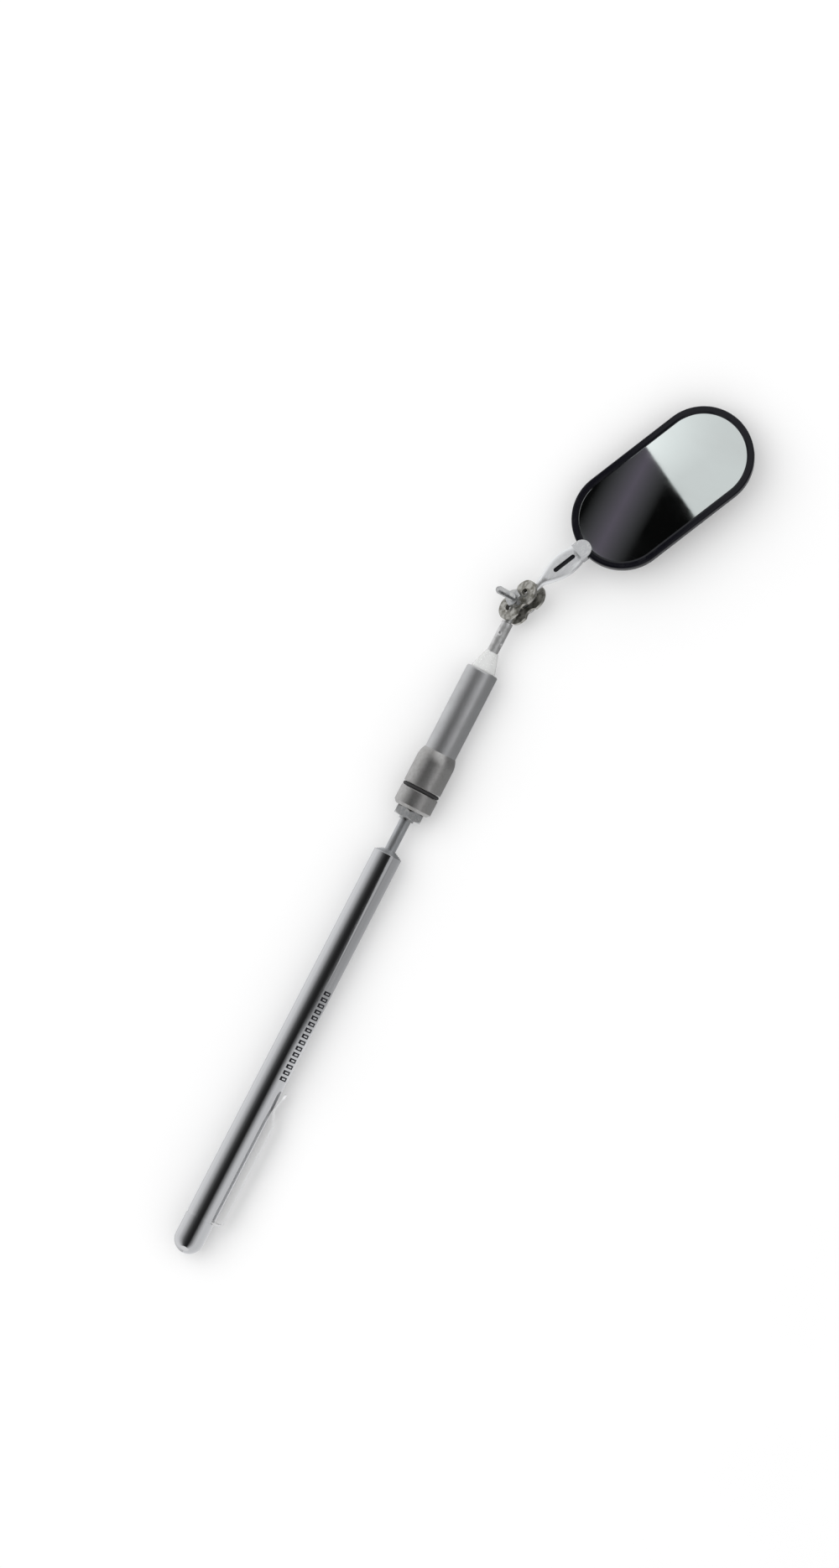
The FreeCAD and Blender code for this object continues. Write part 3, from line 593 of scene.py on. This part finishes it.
def clear_plastic():
    finish = Finish("clear plastic")
    flow = finish.noise(1.8, 3.0)
    nicks = finish.ramp(finish.noise(0.3, 3.0), [(0.62, 0.0), (0.68, 1.0)])
    colour = finish.tint(flow, (0.95, 0.955, 0.95), (0.86, 0.87, 0.86))
    return finish.surface(Base_Color=colour, Roughness=0.12 + nicks * 0.2 + flow * 0.06,
                          Transmission_Weight=0.35, IOR=1.49,
                          Normal=finish.relief(flow - nicks * 0.3, 0.02))


dress(seal_rubber(), "seal_ring")
dress(clear_plastic(), "nose_cone")

# %% [markdown]
# ## What is inside
#
# Nobody sees these pieces until the tool is opened or drawn out, but each still has
# its own stuff. Turned bronze and brass get lathe rings in yellow metals, the spring
# a drawn wire's streaks, and the cells the faint grain of nickel-plated cans.


# %% Inner metals
def inner_metal(name, bright, dull, roughness, marks):
    finish = Finish(name)
    mark = marks(finish)
    tarnish = finish.ramp(finish.noise(1.0, 4.0), [(0.35, 0.0), (0.7, 1.0)])
    colour = finish.tint(tarnish, bright, dull)
    return finish.surface(Base_Color=colour, Metallic=1.0,
                          Roughness=roughness + tarnish * 0.12 + mark * 0.05,
                          Normal=finish.relief(mark, 0.006))


bronze = inner_metal("bushing bronze", (0.62, 0.40, 0.20), (0.36, 0.22, 0.12), 0.26, lathe_rings)
dress(bronze, "stage_1_bushing", "stage_2_bushing", "stage_3_bushing", "stage_4_bushing",
      "rod_bushing")
dress(inner_metal("anchor brass", (0.72, 0.55, 0.27), (0.45, 0.33, 0.17), 0.22, lathe_rings),
      "rod_anchor")
dress(inner_metal("contact brass", (0.75, 0.60, 0.32), (0.5, 0.38, 0.2), 0.2, scratches),
      "front_contact")
dress(inner_metal("spring steel", (0.55, 0.55, 0.56), (0.35, 0.34, 0.33), 0.25, scratches),
      "contact_spring")
dress(inner_metal("cell steel", (0.62, 0.60, 0.57), (0.48, 0.46, 0.43), 0.22, scratches),
      "button_cells")
dress(inner_metal("lead copper", (0.80, 0.45, 0.30), (0.5, 0.25, 0.17), 0.28, scratches),
      "led_leads")

# %% [markdown]
# The rest of the inside is plastic and board. One recipe serves for all four: two
# close colours, a roughness and how deep its grain is.


# %% Inner plastics
def inner_plastic(name, light, dark, roughness, grain, depth):
    finish = Finish(name)
    spots = finish.noise(grain, 4.0)
    colour = finish.tint(spots, light, dark)
    return finish.surface(Base_Color=colour, Roughness=roughness + spots * 0.15,
                          Normal=finish.relief(spots, depth))


dress(inner_plastic("sleeve plastic", (0.75, 0.75, 0.72), (0.6, 0.6, 0.57), 0.35, 0.8, 0.01),
      "battery_sleeve")
dress(inner_plastic("resistor body", (0.55, 0.42, 0.28), (0.42, 0.30, 0.2), 0.3, 0.3, 0.02),
      "resistor")
dress(inner_plastic("board laminate", (0.04, 0.20, 0.09), (0.02, 0.12, 0.05), 0.3, 0.2, 0.01),
      "led_board")
dress(inner_plastic("lamp window", (0.92, 0.88, 0.62), (0.85, 0.80, 0.5), 0.15, 0.4, 0.01),
      "leds")

# %% [markdown]
# ## The table
#
# A very large sheet of matt white card, so that no view sees its edge. It is nearly
# as bright as the light that falls on it, and its only detail is a very faint mottle,
# so that it stays plain. Reflections don't see it: below the tool they see the lower
# half of a light tent instead. `staged` adds a piece of scenery, not part of the tool.


# %% Table
TABLE_HALF = 60.0
TABLE_GAP = 0.00002        # keeps the card just clear of the tool


def table_card():
    finish = Finish("table card")
    mottle = finish.noise(30.0, 2.0)
    colour = finish.tint(mottle, (0.93, 0.93, 0.93), (0.95, 0.95, 0.95))
    return finish.surface(Base_Color=colour, Roughness=0.9, Specular_IOR_Level=0.1)


def staged(name, mesh, material):
    mesh.materials.append(material)
    piece = bpy.data.objects.new(name, mesh)
    bpy.context.scene.collection.objects.link(piece)
    return piece


def sheet(name, height, half, material):
    mesh = bpy.data.meshes.new(name)
    signs = ((-1, -1), (1, -1), (1, 1), (-1, 1))
    mesh.from_pydata([(x * half, y * half, height) for x, y in signs], [], [(0, 1, 2, 3)])
    return staged(name, mesh, material)


table_height = cad_low.z - TABLE_GAP
table = sheet("table", table_height, TABLE_HALF, table_card())
table.visible_glossy = False
print("table at", round(table_height, 5))

# %% [markdown]
# ## The camera
#
# The camera looks straight down on the table from a metre and a half, through a long
# lens, so that nothing looks stretched. It is turned about its own line of sight so
# that the tool runs from lower left to upper right, leaning 27 degrees.


# %% Camera
TOOL_LEAN = math.radians(27.3)
CAMERA_HEIGHT = 1.5
VIEW_LENGTH = 0.3908                       # what the tall side of the picture takes in
AIM_ALONG, AIM_ASIDE = 0.1308, 0.00106     # from the start of the tool's line
SENSOR_MM = 36.0
NEAREST, FARTHEST = 0.05, 200.0

picture_right = Vector((math.sin(TOOL_LEAN), -math.cos(TOOL_LEAN), 0))
picture_up = Vector((math.cos(TOOL_LEAN), math.sin(TOOL_LEAN), 0))
camera_place = line_start + Vector((AIM_ALONG, AIM_ASIDE, CAMERA_HEIGHT))
camera_data = bpy.data.cameras.new("camera")
camera_data.sensor_width = SENSOR_MM
camera_data.lens = SENSOR_MM * CAMERA_HEIGHT / VIEW_LENGTH
camera_data.clip_start = NEAREST
camera_data.clip_end = FARTHEST
camera = bpy.data.objects.new("camera", camera_data)
bpy.context.scene.collection.objects.link(camera)
turn = Matrix((picture_right, picture_up, UP)).transposed()
camera.matrix_world = Matrix.Translation(camera_place) @ turn.to_4x4()
bpy.context.scene.camera = camera
print("lens", round(camera_data.lens, 1), "mm")

# %% [markdown]
# ## What the metal mirrors
#
# Chrome is usually lit inside a light tent: white cloth all round it, darker on one
# side, with a strip of black above. The black strip is what gives the handle its
# dark stripe and makes it look like metal. Here the tent is a tunnel of glowing cloth
# that follows the tool's line, all the way round. Only reflections see it. The camera
# and the soft light of the room pass through, so it throws no shadow.
#
# The tent's brightness depends on the angle round the tool's line. A tube mirrors the
# room at twice the angle that its own surface leans, so a dark strip that fades out
# 35 degrees either side of straight up makes a stripe over the middle third of a tube.
#
# The black strip stops short over the mirror. Where it stops decides where the glass
# changes from dark to light, so that place is worked out by following a ray from the
# camera to the glass and on to the tent. The ray bounces off the glass as light does,
# and the place where it meets the tent is the answer to a quadratic equation.


# %% Follow a ray from the camera to the tent
TENT_RADIUS = 0.30
LIGHT_STARTS = 0.0024      # from the middle of the glass, towards the mirror's far end
STREAK_ASIDE = 0.0079      # from the middle of the glass, to the left
FLARE_ASIDE = 0.011        # the same, for the brightest part of the light half
GLASS_HALF = 0.0236        # half the length of the glass that shows
CUT_SLOPE = 0.06           # how far the strip's cut end is from square
NECK_GAP = 25.0            # mm that the gap reaches back, for the stem's neck


def seen_in_glass(point):
    ray = (point - camera_place).normalized()
    away = ray - 2 * ray.dot(glass_normal) * glass_normal
    start = point - line_start
    a = away.y ** 2 + away.z ** 2
    b = 2 * (start.y * away.y + start.z * away.z)
    c = start.y ** 2 + start.z ** 2 - TENT_RADIUS ** 2
    reach = (-b + math.sqrt(b * b - 4 * a * c)) / (2 * a)
    return start + reach * away


cut_way = mirror_way - glass_side * CUT_SLOPE
edge_point = seen_in_glass(glass_centre + mirror_way * LIGHT_STARTS)
strip_end = edge_point.dot(cut_way) * MM
flare_point = seen_in_glass(glass_centre + glass_side * FLARE_ASIDE)
flare_side = flare_point.dot(glass_side) * MM
streak_point = seen_in_glass(glass_centre - picture_right * STREAK_ASIDE)
streak_angle = math.degrees(math.atan2(streak_point.y, streak_point.z))
stem_low, stem_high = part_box("mirror_stem")
stem_start = seen_in_glass(Vector((stem_low.x, middle("mirror_ball").y, stem_high.z)))
glass_start = seen_in_glass(glass_centre - mirror_way * GLASS_HALF)
gap_start = stem_start.dot(mirror_way) * MM - NECK_GAP
gap_end = glass_start.dot(mirror_way) * MM
print("black strip ends at", round(strip_end, 1), "mm")
print("streak at", round(streak_angle, 1), "degrees")
print("gap over the stem", round(gap_start, 1), "to", round(gap_end, 1), "mm")

# %% [markdown]
# The tent's shader turns the angle into a brightness with a colour ramp. Two stretches
# of its right side differ from that: paler by the clip and dimmer by the light head.


# %% The tent's cloth by angle
TENT_BY_ANGLE = [          # angle round the tool's line, brightness
    (-180, 0.50), (-128, 0.48), (-89, 0.42), (-60, 0.41), (-35, 0.11), (-17, 0.024),
    (0, 0.020), (17, 0.040), (35, 0.13), (60, 0.50), (89, 0.86), (128, 0.95), (180, 0.60),
]
RIGHT_FROM, RIGHT_OVER = 12.0, 30.0      # degrees where the right side begins, and fades in
CLIP_END, CLIP_FADE, CLIP_GLOW = 46.0, 12.0, 0.36
HEAD_START, HEAD_FADE, HEAD_DIM = 118.0, 8.0, 0.42


def cloth_by_angle(finish, degrees):
    stops = [(angle / 360 + 0.5, shade) for angle, shade in TENT_BY_ANGLE]
    cloth = finish.ramp(degrees / 360 + 0.5, stops)
    rightward = ((degrees * -1.0 - RIGHT_FROM) / RIGHT_OVER).clip()
    by_clip = (1 - (finish.x - CLIP_END) / CLIP_FADE).clip() * rightward
    by_head = ((finish.x - HEAD_START) / HEAD_FADE).clip() * rightward
    return (cloth + by_clip * CLIP_GLOW) * (1 - by_head * HEAD_DIM)


# %% [markdown]
# Over the mirror the strip is black velvet with a dim violet streak on it, and beyond
# its end the cloth is bright, brightest near the cut on the left. A gap in the strip
# lights the flat stem. All three are found by the ray of the step before.
#
# A glowing cloth is a Principled shader whose own colour is black. Its light is in
# Emission Color, and the strength is one number for the whole cloth.


# %% Tent cloth
OVERHEAD_HALF = 50.0                     # degrees either side of straight up
VELVET_DIM = 0.9
STREAK_HALF, STREAK_GLOW = 1.8, 0.15     # degrees, brightness
STEM_GAP_SHADE = 0.55
LIGHT_SHADE, LIGHT_MOTTLE, MOTTLE_SIZE = 0.91, 0.05, 60.0
FLARE_LENGTH, FLARE_WIDTH, FLARE_GLOW = 24.0, 14.0, 0.40
FULL_GLOW = 1.4
CLOTH_WHITE = (0.98, 0.985, 1.0)
VIOLET = (0.90, 0.76, 1.0)
BLACK = (0.0, 0.0, 0.0, 1.0)


def tent_cloth():
    finish = Finish("tent cloth")
    degrees = finish.around()
    cloth = cloth_by_angle(finish, degrees)
    overhead = abs(degrees) < OVERHEAD_HALF
    along = finish.towards(mirror_way)
    by_mirror = (along > gap_end) * overhead
    in_gap = (along > gap_start) * (along < gap_end) * overhead
    velvet = cloth * (1 - by_mirror * VELVET_DIM) * (1 - in_gap) + in_gap * STEM_GAP_SHADE
    streak = (1 - abs(degrees - streak_angle) / STREAK_HALF).clip() * by_mirror
    past_cut = finish.towards(cut_way) - strip_end
    beyond = (past_cut > 0.0) * overhead
    in_from_left = flare_side - finish.towards(glass_side)
    flare = (1 - past_cut / FLARE_LENGTH).clip() * (1 - in_from_left / FLARE_WIDTH).clip()
    light = LIGHT_SHADE + finish.noise(MOTTLE_SIZE, 1.0) * LIGHT_MOTTLE + flare * FLARE_GLOW
    bright = (velvet + streak * STREAK_GLOW) * (1 - beyond) + light * beyond
    hue = finish.tint(streak * (1 - beyond), CLOTH_WHITE, VIOLET)
    glow = finish.mix(bright / FULL_GLOW, BLACK, hue)
    return finish.surface(Base_Color=BLACK, Roughness=1.0, Specular_IOR_Level=0.0,
                          Emission_Color=glow, Emission_Strength=FULL_GLOW)


# %% [markdown]
# The tunnel itself is a ring of flat panels. Ray visibility switches hide it from
# everything but glossy rays, which are the ones that make reflections.


# %% Tent
TENT_PANELS = 96
TENT_REACH = 0.7
HIDDEN_FROM = ("camera", "diffuse", "transmission", "shadow", "volume_scatter")


def tent(material):
    mesh = bpy.data.meshes.new("tent")
    build = bmesh.new()
    rows = []
    for panel in range(TENT_PANELS):
        angle = 2 * math.pi * panel / TENT_PANELS
        across = Vector((0, math.sin(angle), math.cos(angle))) * TENT_RADIUS
        ends = [line_start + across + Vector((end, 0, 0)) for end in (-TENT_REACH, TENT_REACH)]
        rows.append([build.verts.new(end) for end in ends])
    for first, second in zip(rows, rows[1:] + rows[:1]):
        build.faces.new((first[0], first[1], second[1], second[0]))
    build.to_mesh(mesh)
    build.free()
    piece = staged("tent", mesh, material)
    for kind in HIDDEN_FROM:
        setattr(piece, "visible_" + kind, False)
    return piece


light_tent = tent(tent_cloth())
print("tent of", len(light_tent.data.polygons), "panels")

# %% [markdown]
# ## Soft light
#
# The room itself is an even white, which is what lights the table and everything that
# isn't shiny. One large soft lamp on the left gives rounded shapes a lighter side.
# It is hidden from reflections, because the tent already holds what the metal mirrors.


# %% Room and lamp
ROOM_STRENGTH = 0.92
LAMP_SIZE = 1.2
LAMP_WATTS = 4.0
LAMP_FROM_LINE = Vector((0.15, 0.7, 1.0))

world = bpy.data.worlds.new("room")
bpy.context.scene.world = world
world.use_nodes = True
room_light = world.node_tree.nodes["Background"].inputs
room_light["Color"].default_value = (1.0, 1.0, 1.0, 1.0)
room_light["Strength"].default_value = ROOM_STRENGTH

lamp_data = bpy.data.lights.new("soft lamp", "AREA")
lamp_data.shape = "DISK"
lamp_data.size = LAMP_SIZE
lamp_data.energy = LAMP_WATTS
lamp = bpy.data.objects.new("soft lamp", lamp_data)
bpy.context.scene.collection.objects.link(lamp)
lamp_place = line_start + LAMP_FROM_LINE
lamp.location = lamp_place
lamp.rotation_mode = "QUATERNION"
lamp.rotation_quaternion = (glass_centre - lamp_place).to_track_quat("-Z", "Y")
lamp.visible_glossy = False
bpy.context.scene.view_settings.view_transform = "Standard"
print("room", ROOM_STRENGTH, "lamp", LAMP_WATTS, "W")

# %% [markdown]
